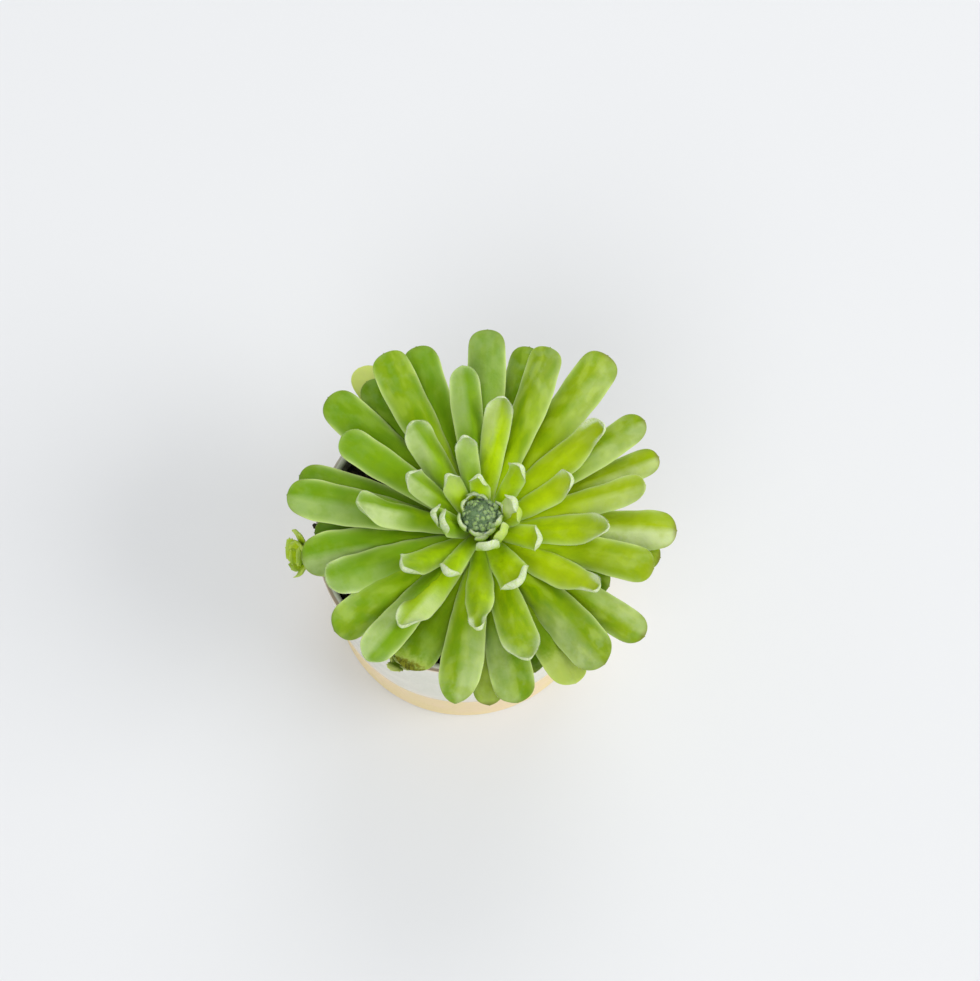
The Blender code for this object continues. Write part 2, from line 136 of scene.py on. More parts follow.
# How far a fine leaf is moved from the place of the construction, to lie over its leaf in the photograph:
# degrees of turn, and millimetres of reach, of width and of height at the tip.
FINE_NUDGES = {
    0: (0, 1.5, 0, 0), 1: (0, 1, 0, 0), 4: (-3, 2.5, 0, 0), 5: (0, 0, 0, -3), 8: (-5, 1, 0, 0),
    10: (3, 3, 0, 0), 11: (1, 0, 0, 0), 12: (-1, 3.5, 0, 0), 15: (0, 3.5, 2.5, 0), 16: (1.8, 0, 0, 0),
    17: (4, 1, 0, 0), 18: (0, 1, 0, 0), 19: (3.5, 1.5, 0, 0), 20: (-3, 4, 0, 0), 21: (5, 2, 1.5, 0),
    23: (3.5, 4, 0, 0), 25: (-2.7, 2.5, 0, 0), 26: (-1.3, 1, 2.5, 0), 27: (0, -1, 0, 0), 29: (1, 0, 2, 0),
    30: (2.5, 1, 0, 0), 31: (1.8, 0, 0, 0), 32: (3.7, 0, 1, 0), 34: (1.8, 0, 1, 0), 37: (0.3, 0, 1, 0),
    38: (0, 0.7, 0, 0), 39: (1.5, 0, 0.5, 0), 40: (-1.7, 0, 1, 0), 42: (0, 0.7, 1, 0), 43: (0.7, 0, 0, 0),
    45: (2.8, 0, 0.5, 0), 46: (-1.4, 0, 2.5, 0), 47: (1.6, 0, 0, 0), 48: (1.7, 0, 0, 0),
    49: (0.7, -0.5, 0, 0), 50: (-1, 0, 0, 0), 52: (-1.8, 1, 0, 0), 53: (0, 3, 0, -2), 60: (0, -8, 0, 0),
    61: (0, 0, 0, 4),
}

# How closely the points of a fine leaf lie, and the blunt point that closes its tip.
STATIONS = 48
TIP_CROWDING = 1.8
UPPER_COLUMNS = 17
MIDRIB_STEPS = 160
TIP_POINT_STATIONS = (0.3, 0.6, 0.85)
TIP_POINT_LENGTH = 0.3 * MM
TIP_POINT_HALF_WIDTH = 0.35 * MM

# The section of a leaf, and where along it the tip starts to turn up, to hollow and to raise its lip, and
# the frost with its painted sheen, the teeth and the down begin.
UPPER_SHARE = 0.5
LOWER_SHARE = 0.6
EDGE_POWER = 2.2
EDGE_ROUNDING = 0.85
HOOK_START = 0.79
HOOK_DROP = 0.6
MOST_STRETCH = 1.15
SPOON_START = 0.66
LIP_START = 0.76
FROST_AND_SHEEN_START = 0.45
TEETH_START = 0.4
DOWN_START = 0.76
WHITE_BAND_START = 0.82

# The rule for the tips, which are curled and downy on the inner leaves and flatter and bare on the outer.
FIRST_FLATTER_RANK = 17
LAST_CURLED_RANK = 30
LAST_DOWNY_RANK = 14
TIP_CURL = (46, 16)
SPOON = (0.42, 0.10)
LIP = (1, 0.15)
WIDEST_SHARE = (0.80, 0.79)
ROLL_SPREAD = 7
SWAY_SPREAD = 0.9
RIDGE = 0.32
RIDGE_SPREAD = 0.08

# Low swells, dents, the wave of the margin and the teeth: spacing and height in millimetres, but the swell
# of the outline as a share of the half width.
OUTLINE_SWELL = 0.02
SWELL_SPACING = 11
SWELL = 0.20
DENT_SPACING = 4.5
DENT = 0.15
MARGIN_WAVE_SPACING = 13
MARGIN_WAVE = 0.22
TOOTH_SPACING = 1.1

# Widths of the bands along a leaf's edge, in millimetres: the lip, the pale rim and the white down, which is
# broader and sharper on a lip that is taller than TALL_LIP.
LIP_WIDTH = 1.3
RIM_WIDTH = 0.75
DOWN_WIDTH = 1.2
TALL_LIP = 1.6
WHITE_BAND = 2.2
WHITE_BAND_FADE = 1

# Painted light and shade: the leaves on the side towards the light are painted yellower, and those at the
# front a deeper green.
PAINTED_LIGHT_AZIMUTH = math.radians(-12)
PAINTED_LIGHT_TINT = 0.80
PAINTED_FRONT_SHADE = -0.40
TINT_SPREAD = 0.35

# How far the old leaves have faded from their tips: up to 0.6 is yellow, 1 is brown and withered.
FADED_LEAVES = {46: 1, 49: 0.3, 53: 0.6}

# The tips of these leaves roll up to small rings: narrower tips with a tall lip, white with down.
LOOPED_LEAVES = (12, 18, 20, 21, 23)
LOOPED_FORM = dict(widest=0.74, taper=0.25, bluntness=2.6, lip=1.5, down=1)

# What shows of single leaves in the photograph, by rank. Curl and roll of the tip in degrees, its spoon, and
# its sway to a side and its lip in millimetres; the fold at the midrib; how blunt the end is, how far out
# the leaf is widest and how much it tapers from there; the white down; the tint, from deep green at -1 to
# yellow at 1, in place of the rule's painted light and shade; and how pale the frosty bloom with its painted
# sheen is on the outer half, on one side of the midrib or else on both.
LEAF_FORMS = dict(
    curl={0: 50, 3: 34, 4: 78, 6: 34, 12: 26, 15: 82, 18: 26, 20: 26, 21: 24, 23: 24, 28: 45, 30: 45},
    spoon={3: 0.9, 6: 0.9, 12: 0.5, 18: 0.6, 20: 0.4, 21: 0.4, 23: 0.4, 28: 0.4},
    roll={3: -14, 10: 24, 15: 14, 20: 10},
    sway={10: -2.5, 20: 2, 21: -5, 23: -1},
    lip={7: 0.5, 18: 1, 20: 1.9, 21: 1.7, 23: 1.9, 30: 0.7},
    ridge={14: 0.5, 19: 0.5, 22: 0.55, 39: 0.45},
    bluntness={3: 4.5, 6: 4.5, 12: 3.2, 18: 3.4, 20: 11, 21: 9, 23: 11, 28: 1.8, 29: 6, 32: 6,
                  33: 2, 37: 5, 40: 4, 42: 6},
    widest={3: 0.64, 6: 0.64, 20: 0.60, 21: 0.62, 23: 0.60},
    taper={3: 0.2, 6: 0.2, 20: 0.42, 21: 0.25, 23: 0.42},
    down={2: 0.3, 5: 0.2, 28: 0.8, 30: 0.35},
    tint={33: -0.2, 40: -0.8, 45: -1, 54: 1},
    frost_and_sheen={0: 0.9, 6: 0.3, 11: 0.3, 12: 0.6, 14: 0.55, 16: 0.45, 19: 0.45, 22: 0.6, 24: 0.25, 25: 0.4,
              26: 0.3, 29: 0.1, 30: 0.15, 33: 0.35, 34: 0.3, 35: 0.25, 36: 0.35, 37: 0.15, 39: 0.8, 41: 0.28,
              42: 0.2, 43: 0.38, 44: 0.3, 47: 0.5, 54: 0.2},
    side={12: 1, 14: 1, 16: 1, 19: 1, 22: 1, 24: 1, 25: -1, 26: -1, 29: -1, 30: 1, 33: 1, 34: -1, 35: 1,
             36: -1, 39: -1, 41: -1, 42: -1, 43: 1, 44: 1, 47: -1},
)


def smoothstep(value):
    """Ease from 0 to 1, for numbers and arrays."""
    value = np.clip(value, 0, 1)
    return value * value * (3 - 2 * value)


def mix(low, high, share):
    """The value a share of the way from low to high."""
    return low + (high - low) * share


def stacked(*parts):
    """Numbers and arrays that match in shape, as one array of vectors."""
    return np.stack(np.broadcast_arrays(*parts), axis=-1)


def polar(reach, azimuth):
    """Across and along, at a reach and an azimuth."""
    return reach * math.cos(azimuth), reach * math.sin(azimuth)


def ripples(x, y, spacing, draws):
    """A smooth irregular swell from about -1 to 1 over two coordinates, from a few crossed waves."""
    total = 0
    for wave in range(5):
        heading, phase = draws.uniform(0, math.tau, 2)
        length = spacing * draws.uniform(0.7, 1.6)
        total = total + np.sin((x * math.cos(heading) + y * math.sin(heading)) * math.tau / length + phase)
    return total / 3


def carry(piece, node):
    """Put a piece on the one body, in place of a solid."""
    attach(piece, "root")
    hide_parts(node)


class Mesh:
    """Gathers points and faces, with named vectors at each point, into one object."""

    def __init__(self):
        self.points, self.faces, self.values, self.count = [], [], [], 0

    def add(self, points, faces, **values):
        """Add points, faces that count from the first of them, and vectors for each point."""
        points = np.asarray(points, float).reshape(-1, 3)
        self.points.append(points)
        self.faces += [[self.count + corner for corner in face] for face in faces]
        self.values.append(values)
        self.count += len(points)

    def add_rings(self, rings, foot, apex, **values):
        """Add rings of points and a point at either end, joined to one closed body."""
        count, around = rings.shape[:2]
        total = count * around
        following = [a + 1 if (a + 1) % around else a + 1 - around for a in range(total)]
        faces = [(a, b, b + around, a + around) for a, b in enumerate(following[:-around])]
        faces += [(b, a, total) for a, b in enumerate(following[:around])]
        faces += [(a, following[a], total + 1) for a in range(total - around, total)]
        for key, value in values.items():
            flat = value.reshape(total, 3)
            values[key] = np.concatenate((flat, flat[:1], flat[-1:]))
        self.add(np.concatenate((rings.reshape(total, 3), [foot], [apex])), faces, **values)

    def build(self, name, finish, shift=Vector()):
        """Make the object."""
        mesh = bpy.data.meshes.new(name)
        mesh.from_pydata((np.concatenate(self.points) + np.array(shift)).tolist(), [], self.faces)
        for key in self.values[0]:
            values = np.concatenate([part[key] for part in self.values])
            layer = mesh.attributes.new(key, "FLOAT_VECTOR", "POINT")
            layer.data.foreach_set("vector", values.astype(np.float32).ravel())
        mesh.shade_smooth()
        mesh.materials.append(finish)
        new = bpy.data.objects.new(name, mesh)
        bpy.context.scene.collection.objects.link(new)
        return new


def pebble(detail):
    """A round pebble of triangles, as points and faces."""
    shape = bmesh.new()
    bmesh.ops.create_icosphere(shape, subdivisions=detail, radius=1)
    points = np.array([vert.co for vert in shape.verts])
    faces = [tuple(vert.index for vert in face.verts) for face in shape.faces]
    shape.free()
    return points, faces


class Graph:
    """A material's nodes, with short calls for those used here."""

    def __init__(self, name):
        self.material = bpy.data.materials.new(name)
        self.material.use_nodes = True
        self.tree = self.material.node_tree
        self.shader = self.tree.nodes["Principled BSDF"]

    def feed(self, socket, value):
        """Link a socket to another, or set its value."""
        if isinstance(value, bpy.types.NodeSocket):
            self.tree.links.new(value, socket)
        elif isinstance(value, tuple) and len(value) == 3 and socket.type == "RGBA":
            socket.default_value = (*value, 1)
        else:
            socket.default_value = value

    def node(self, kind, output, inputs, **settings):
        """Add a node, feed its inputs by name or number, and return one of its outputs."""
        new = self.tree.nodes.new("ShaderNode" + kind)
        for key, value in settings.items():
            setattr(new, key, value)
        for key, value in inputs.items():
            self.feed(new.inputs[key], value)
        return new.outputs[output]

    def math(self, operation, one, other):
        return self.node("Math", 0, {0: one, 1: other}, operation=operation)

    def times(self, one, other):
        return self.math("MULTIPLY", one, other)

    def plus(self, one, other):
        return self.math("ADD", one, other)

    def stray(self, pattern, amount):
        """How far a pattern from 0 to 1 strays from its middle, times an amount."""
        return self.times(self.math("SUBTRACT", pattern, 0.5), amount)

    def mix(self, share, low, high):
        """Blend two colours."""
        return self.node("Mix", 2, {0: share, 6: low, 7: high}, data_type="RGBA")

    def coats(self, colour, *coats):
        """Lay coats over a colour one after another, each with its share and its colour."""
        for share, coat in coats:
            colour = self.mix(share, colour, coat)
        return colour

    def rise(self, value, start, end, low=0, high=1):
        """Ease from low to high as the value goes from start to end."""
        inputs = dict(enumerate((value, start, end, low, high)))
        return self.node("MapRange", 0, inputs, interpolation_type="SMOOTHSTEP")

    def noise(self, place, scale, detail=3, roughness=0.55):
        inputs = {"Vector": place, "Scale": scale, "Detail": detail, "Roughness": roughness}
        return self.node("TexNoise", "Fac", inputs)

    def cells(self, place, scale):
        return self.node("TexVoronoi", "Distance", {"Vector": place, "Scale": scale})

    def place(self):
        """The place in the object's own frame."""
        return self.node("TexCoord", "Object", {})

    def stretch(self, place, factors):
        return self.node("VectorMath", 0, {0: place, 1: factors}, operation="MULTIPLY")

    def attribute(self, name):
        return self.node("Attribute", "Vector", {}, attribute_name=name)

    def parts(self, name):
        """The three numbers of a vector attribute."""
        return tuple(self.node("SeparateXYZ", 0, {0: self.attribute(name)}).node.outputs)

    def bump(self, height, distance, strength=1):
        return self.node("Bump", 0, {"Height": height, "Distance": distance, "Strength": strength})

    def finish(self, **inputs):
        """Set the shader's own sockets, named with underscores for spaces."""
        for key, value in inputs.items():
            self.feed(self.shader.inputs[key.replace("_", " ")], value)
        return self.material


def midrib(base, tip, arch, curl):
    """Reach, height and angle along a leaf: an arc from base to tip, whose last part turns up by curl."""
    rise, run = tip[1] - base[1], tip[0] - base[0]
    slope, bend = math.atan2(rise, run), math.radians(arch)
    length = math.hypot(rise, run) * (bend / math.sin(bend) if abs(bend) > 1e-6 else 1)
    steps = np.linspace(0, 1, MIDRIB_STEPS + 1)
    hook = np.clip((steps - HOOK_START) / (1 - HOOK_START), 0, 1)
    angles = slope + bend * (1 - 2 * steps) + math.radians(curl) * hook ** 2
    middles = 0.5 * (angles[1:] + angles[:-1])
    reach = np.concatenate(([0], np.cumsum(np.cos(middles)))) * length / MIDRIB_STEPS
    height = np.concatenate(([0], np.cumsum(np.sin(middles)))) * length / MIDRIB_STEPS
    return steps, reach, height, angles, length


def outline(share, base_share, bluntness, widest, taper):
    """Half width of a leaf, as a share of its greatest half width; a taper narrows its rounded end."""
    inner = mix(base_share, 1, smoothstep(share / widest) ** 0.65)
    beyond = np.clip((share - widest) / (1 - widest), 0, 1)
    outer = np.sqrt(np.maximum(0, 1 - beyond ** bluntness)) * (1 - taper * smoothstep(beyond / 0.85))
    return np.where(share < widest, inner, outer)


def leaf_size(rank):
    """A leaf of the main rosette by its rank, as the construction places it."""
    turn, more_reach, more_width = LEAF_NUDGES[rank]
    age = rank / (LEAF_COUNT - 1)
    grown = smoothstep(rank / FULL_REACH_RANK)
    old = max(0, (rank - OLD_LEAF_RANK) / (LEAF_COUNT - OLD_LEAF_RANK))
    reach = mix(*REACH, grown) - OLD_LEAF_SHORTENING * old + more_reach * MM
    height_rank = LOW_LEAF_AS if rank == LOW_LEAF else rank
    sinking = (height_rank - FIRST_SINKING_RANK) / (LAST_SINKING_RANK - FIRST_SINKING_RANK)
    return dict(
        azimuth=math.radians(FIRST_LEAF_AZIMUTH + GOLDEN_ANGLE * rank + turn),
        base=(mix(*BASE_REACH, math.sqrt(age)), mix(*BASE_HEIGHT, age)),
        tip=(reach, mix(*TIP_HEIGHT, smoothstep(sinking))),
        width=mix(*WIDTH, grown) + more_width * MM,
        thickness=LEAF_THICKNESS * mix(0.75, 1, grown),
        arch=mix(*ARCH, grown),
        base_share=mix(*BASE_SHARE, grown),
        cup=LEAF_CUP,
        age=age,
    )


def leaf_look(rank):
    """What the fine form adds to a leaf: the curl of its tip, its spoon, roll, sway and down."""
    draws = np.random.default_rng((SEED, rank))
    azimuth = leaf_size(rank)["azimuth"]
    flatter = smoothstep((rank - FIRST_FLATTER_RANK) / (LAST_CURLED_RANK - FIRST_FLATTER_RANK))
    barer = smoothstep((rank - LAST_DOWNY_RANK) / (LAST_CURLED_RANK - LAST_DOWNY_RANK))
    # The tint holds painted light and shade by azimuth, on top of a random spread of tone.
    tint = PAINTED_LIGHT_TINT * math.cos(azimuth - PAINTED_LIGHT_AZIMUTH) + PAINTED_FRONT_SHADE * max(0, -math.sin(azimuth))
    look = dict(
        curl=mix(*TIP_CURL, flatter) * draws.uniform(0.85, 1.15),
        spoon=mix(*SPOON, flatter) * draws.uniform(0.8, 1.2),
        roll=draws.normal(0, ROLL_SPREAD),
        twist=draws.normal(0, ROLL_SPREAD),
        sway=draws.normal(0, SWAY_SPREAD),
        ridge=draws.normal(RIDGE, RIDGE_SPREAD),
        bluntness=mix(2.3, draws.uniform(3.4, 5.2), flatter),
        lip=mix(*LIP, flatter),
        widest=mix(*WIDEST_SHARE, flatter),
        down=1 - barer,
        old=FADED_LEAVES.get(rank, 0),
        tint=float(np.clip(tint + draws.normal(0, TINT_SPREAD), -1, 1)),
        seed=rank * 3.7,
        draws=draws,
    )
    if rank in LOOPED_LEAVES:
        look.update(LOOPED_FORM)
    look.update({key: leaves[rank] for key, leaves in LEAF_FORMS.items() if rank in leaves})
    return look


def blade(azimuth, base, tip, width, thickness, arch, base_share, cup, age, curl, spoon, roll, sway,
          bluntness, widest, lip, down, tint, seed, draws, twist=0, ridge=0, taper=0, old=0, frost_and_sheen=0,
          side=0, teeth=0, stations=STATIONS, columns=UPPER_COLUMNS):
    """One leaf, as rings of points from base to tip with what its finish needs, and its margins."""
    shares = 1 - (1 - np.linspace(0, 1, stations)) ** TIP_CROWDING
    steps, reach, height, angles, length = midrib(base, tip, arch, curl)
    _, plain_reach, plain_height, _, _ = midrib(base, tip, arch, CAD_TIP_CURL)
    stretch = float(np.clip(plain_reach.max() / reach.max(), 1, MOST_STRETCH)) if reach.max() > 0 else 1
    length *= stretch
    centre_reach = base[0] + np.interp(shares, steps, reach) * stretch
    drop = HOOK_DROP * max(0, height.max() * stretch - plain_height.max())
    centre_height = base[1] + np.interp(shares, steps, height) * stretch - drop * shares ** 2
    angle = np.interp(shares, steps, angles)
    out = np.array((math.cos(azimuth), math.sin(azimuth), 0))
    left = np.array((-math.sin(azimuth), math.cos(azimuth), 0))
    up = np.array((0, 0, 1))
    sideways = (sway * MM * shares ** 2)[:, None] * left
    centres = centre_reach[:, None] * out + centre_height[:, None] * up + sideways
    tangents = np.cos(angle)[:, None] * out + np.sin(angle)[:, None] * up
    half = 0.5 * width * outline(shares, base_share, bluntness, widest, taper)
    body = thickness * np.minimum(1, 0.3 + 1.1 * outline(shares, 0.6, bluntness, widest, taper))
    body = body * np.minimum(1, (1.05 - shares) / 0.3 + 0.35)
    half = half * (1 + OUTLINE_SWELL * ripples(shares * length, 0, SWELL_SPACING * MM, draws))
    half = np.maximum(half, TIP_POINT_HALF_WIDTH)

    point = np.array(TIP_POINT_STATIONS)
    centres = np.concatenate((centres, centres[-1] + tangents[-1] * (point * TIP_POINT_LENGTH)[:, None]))
    tangents = np.concatenate((tangents, np.repeat(tangents[-1:], len(point), axis=0)))
    angle = np.concatenate((angle, np.repeat(angle[-1:], len(point))))
    half = np.concatenate((half, TIP_POINT_HALF_WIDTH * (1 - point) ** 0.8))
    body = np.concatenate((body, body[-1] * (1 - point) ** 0.8))
    shares = np.concatenate((shares, np.ones(len(point))))

    upper = np.sin(np.linspace(1, -1, columns) * math.pi / 2)
    across = np.concatenate((upper, upper[-2:0:-1]))
    under = np.concatenate((np.zeros(columns), np.ones(columns - 2)))
    flat = np.cos(angle)[:, None] * up - np.sin(angle)[:, None] * out
    turn = (math.radians(roll) + math.radians(twist) * shares)[:, None]
    across_axis = left * np.cos(turn) + flat * np.sin(turn)
    normal = flat * np.cos(turn) - left * np.sin(turn)

    spooned = smoothstep((shares - SPOON_START) / (1 - SPOON_START))
    hollow = cup + spoon * spooned
    folded = -ridge * (1 - spooned)
    depth = body[:, None] * (1 - np.abs(across) ** EDGE_POWER) ** EDGE_ROUNDING
    lift = (hollow * half)[:, None] * across ** 2 + (folded * half)[:, None] * np.sqrt(across ** 2 + 0.04)
    lift = lift + depth * np.where(under > 0.5, -LOWER_SHARE, UPPER_SHARE)
    along_mm = (shares * length / MM)[:, None]
    across_mm = half[:, None] * across / MM
    swell = ripples(along_mm, across_mm, SWELL_SPACING, draws)
    dents = ripples(along_mm, across_mm, DENT_SPACING, draws)
    wave = np.sin(along_mm * math.tau / MARGIN_WAVE_SPACING + draws.uniform(0, math.tau) + 1.3 * across)
    relief = (SWELL * swell + DENT * dents) * MM * (1 - across ** 2)
    relief = relief + MARGIN_WAVE * MM * wave * np.abs(across) ** 3
    lift = lift + smoothstep(shares / 0.2)[:, None] * relief
    if teeth:
        saw = np.abs(((along_mm[:, 0] / TOOTH_SPACING + draws.uniform()) % 1) - 0.5) * 2
        half = half * (1 + teeth * (saw - 0.5) * smoothstep((shares - TEETH_START) / 0.3))
    to_side = half[:, None] * (1 - np.abs(across))
    to_tip = ((1 - shares) * length)[:, None]
    to_edge = np.minimum(to_side, to_tip) / MM
    turned_up = lip * MM * smoothstep((shares - LIP_START) / 0.14)
    lift = lift + turned_up[:, None] * np.exp(-(to_edge / LIP_WIDTH) ** 1.5)
    rings = centres[:, None, :] + across_axis[:, None, :] * (half[:, None] * across)[..., None]
    rings = rings + normal[:, None, :] * lift[..., None]

    rim = np.minimum(1, 1.15 * np.exp(-to_edge / RIM_WIDTH))
    if lip > TALL_LIP:
        wide_rim = smoothstep((WHITE_BAND - to_edge) / WHITE_BAND_FADE)
        tip_zone = smoothstep((shares - WHITE_BAND_START) / 0.08)[:, None]
    else:
        wide_rim = np.minimum(1, 1.25 * np.exp(-to_edge / (DOWN_WIDTH * max(1, 0.8 * lip))))
        tip_zone = smoothstep((shares - DOWN_START) / 0.14)[:, None]
    white = down * tip_zone * np.maximum(under, wide_rim)
    # The pale coat is frosty bloom with a painted sheen on the outer half, on the facet that side picks,
    # else on both.
    facet = smoothstep((side * across + 0.15) / 0.3) if side else 1
    pale = frost_and_sheen * smoothstep((shares - FROST_AND_SHEEN_START) / 0.25)[:, None] * facet * (1 - under)
    leaf = dict(
        rings=rings,
        foot=centres[0],
        apex=centres[-1] + tangents[-1] * (1 - point[-1]) * TIP_POINT_LENGTH + normal[-1] * turned_up[-1],
        blade=stacked(shares[:, None], under, pale),
        skin=stacked(along_mm, across_mm, seed),
        life=stacked(age, old, np.full(rings.shape[:2], tint)),
        edge=stacked(rim, white, smoothstep((shares[:, None] - 0.97) / 0.03)),
    )
    margins = dict(
        points=rings[:, (0, columns - 1)],
        outwards=np.stack((across_axis, -across_axis), axis=1),
        tangents=tangents,
        normals=normal,
        shares=shares,
        length=length,
        down=down,
        draws=draws,
    )
    return leaf, margins


def main_leaf(rank):
    """The fine leaf of a rank."""
    size = leaf_size(rank)
    turn, reach, width, height = FINE_NUDGES.get(rank, (0, 0, 0, 0))
    size["azimuth"] += math.radians(turn)
    size["tip"] = (size["tip"][0] + reach * MM, size["tip"][1] + height * MM)
    size["width"] += width * MM
    return blade(**size, **leaf_look(rank))


def leaf_skin(name, young, grown, tip, aged_and_shaded, margin):
    """Fleshy leaf: bright at the base, greyish bloom towards the tip, pale margin, white down, old marks."""
    g = Graph(name)
    along, under, frost_and_sheen = g.parts("blade")
    age, old, tint = g.parts("life")
    rim, down, point = g.parts("edge")
    skin = g.attribute("skin")
    broad = g.noise(skin, 0.16, 3)
    small = g.noise(skin, 0.9, 4)
    grain = g.noise(skin, 5, 2)
    veins = g.noise(g.stretch(skin, (0.05, 1.5, 1)), 1, 2)
    flow = g.noise(g.stretch(skin, (0.45, 1, 1)), 0.30, 0.6)

    youth = g.rise(g.plus(age, g.stray(broad, 0.35)), 0.08, 0.55)
    outer = g.rise(g.plus(along, g.stray(small, 0.2)), 0.45, 1)
    bloom = g.times(g.rise(broad, 0.42, 0.64), g.rise(along, 0.55, 0.95))
    deep = g.times(g.rise(flow, 0.50, 0.34), g.rise(age, 0.15, 0.6, 0.2, 0.5))
    pale = g.times(g.rise(flow, 0.52, 0.70), g.rise(along, 0.2, 0.8, 0.12, 0.34))
    dark_rim = g.times(rim, g.times(g.rise(along, 0.85, 0.95), g.rise(age, 0.35, 0.6)))
    reach = g.plus(g.plus(along, g.stray(broad, 0.12)), g.stray(small, 0.07))
    stale = g.times(g.rise(old, 0, 0.5), g.rise(reach, 1, 0.8))
    faded = g.math("SUBTRACT", reach, g.rise(old, 0.6, 1, 0, 0.18))
    ripe = g.times(point, g.times(g.rise(age, 0.3, 0.6), g.rise(tint, -0.2, 0.6)))
    brown = g.mix(g.rise(small, 0.4, 0.6), (0.08, 0.085, 0.008), (0.18, 0.19, 0.016))
    fur = g.mix(g.rise(grain, 0.4, 0.6), (0.56, 0.66, 0.36), (0.70, 0.76, 0.58))
    colour = g.coats(
        g.mix(youth, young, grown),
        (g.rise(along, 0.62, 0.15, 0, 0.65), young),
        (g.times(outer, g.rise(age, 0, 0.35, 0.2, 0.85)), tip),
        # The outermost, lowest leaves are darker: partly their older colour, partly painted shade where they
        # lie under the others.
        (g.rise(age, 0.66, 0.95, 0, 0.8), aged_and_shaded),
        (g.times(bloom, g.rise(age, 0.1, 0.5, 0, 0.45)), (0.34, 0.48, 0.17)),
        (g.times(g.rise(veins, 0.5, 0.75), 0.07), (0.42, 0.58, 0.02)),
        (g.times(g.rise(small, 0.52, 0.75), 0.15), (0.12, 0.23, 0.004)),
        (deep, (0.13, 0.28, 0.002)),
        (g.times(pale, g.rise(age, 0, 0.05, 0.3, 1)), (0.46, 0.60, 0.09)),
        # Yellow and deep green coats from the tint, which carries painted light and shade as well as random
        # tone.
        (g.rise(tint, 0, 1, 0, 0.45), (0.52, 0.64, 0.006)),
        (g.rise(tint, 0, -1, 0, 0.65), (0.13, 0.29, 0.006)),
        # Frosty bloom with painted sheen, pale on the chosen facet of the outer half.
        (g.times(frost_and_sheen, g.rise(broad, 0.3, 0.6, 0.6, 1)), (0.64, 0.73, 0.38)),
        (g.times(under, 0.25), (0.34, 0.50, 0.06)),
        (g.times(rim, g.rise(along, 0.97, 0.85, 0.15, 0.9)), margin),
        (g.times(dark_rim, g.rise(old, 0.3, 0, 0, 0.6)), (0.13, 0.17, 0.03)),
        (g.times(stale, 0.5), aged_and_shaded),
        (g.times(g.rise(old, 0, 0.6), g.rise(faded, 0.70, 0.86)), (0.60, 0.68, 0.18)),
        (g.times(g.rise(old, 0.6, 1), g.rise(reach, 0.935, 0.965)), brown),
        (g.times(ripe, 0.55), (0.16, 0.14, 0.03)),
        (g.times(down, g.rise(small, 0.3, 0.6, 0.55, 1)), fur))

    rough = g.plus(g.plus(g.times(grain, 0.12), g.times(down, 0.35)), 0.36)
    relief = g.plus(g.plus(g.times(grain, 0.3), g.times(veins, 0.3)), g.times(small, 1.2))
    return g.finish(Base_Color=colour, Roughness=rough, Normal=g.bump(relief, 0.12 * MM, 0.8),
                    Subsurface_Weight=0.25, Subsurface_Radius=(0.8, 1, 0.15), Subsurface_Scale=2 * MM,
                    Specular_IOR_Level=0.11, Specular_Tint=(0.95, 1, 0.25))


def make_leaves(finish):
    """The main rosette's leaves, in three whorls."""
    margins = []
    for name, first, last in (("inner", 0, 12), ("middle", 12, 32), ("outer", 32, LEAF_COUNT)):
        mesh = Mesh()
        for rank in range(first, last):
            leaf, margin = main_leaf(rank)
            mesh.add_rings(**leaf)
            margins.append(margin)
        carry(mesh.build("leaves_" + name, finish, AXIS), "rosette")
    return margins


# The bud: a ring of small leaves, unevenly set, round many tiny downy ones on a dome, which close over the
# growing point. It stands a little to the back.
BUD_AXIS = AXIS + Vector((0, 1.4 * MM, 0))
BUD_HEIGHT = POT_HEIGHT + 18.5 * MM
BUD_BASE_DEPTH = 9 * MM
BUD_LEAVES = {
    "bud_ring": dict(count=10, reach=8.9 * MM, width=7.7 * MM, thickness=1.4 * MM, uneven=2, down=1,
                     tint=(-1, 1)),
    "bud_heart": dict(count=54, reach=7.1 * MM, width=3 * MM, thickness=1.1 * MM, uneven=1, down=0.30,
                      tint=(-0.8, 0)),
}
BUD_LEAF = dict(arch=-10, base_share=0.85, cup=0.22, age=0, spoon=0.4, bluntness=1.9, widest=0.7, lip=0.3,
                stations=24, columns=11)
BUD_DOME_SIZE = np.array((7.4, 7.4, 5)) * MM
BUD_DOME_MIDDLE = np.array((0, 0, BUD_HEIGHT - 3.6 * MM))
BUD_DOME_HAIRS = 2600


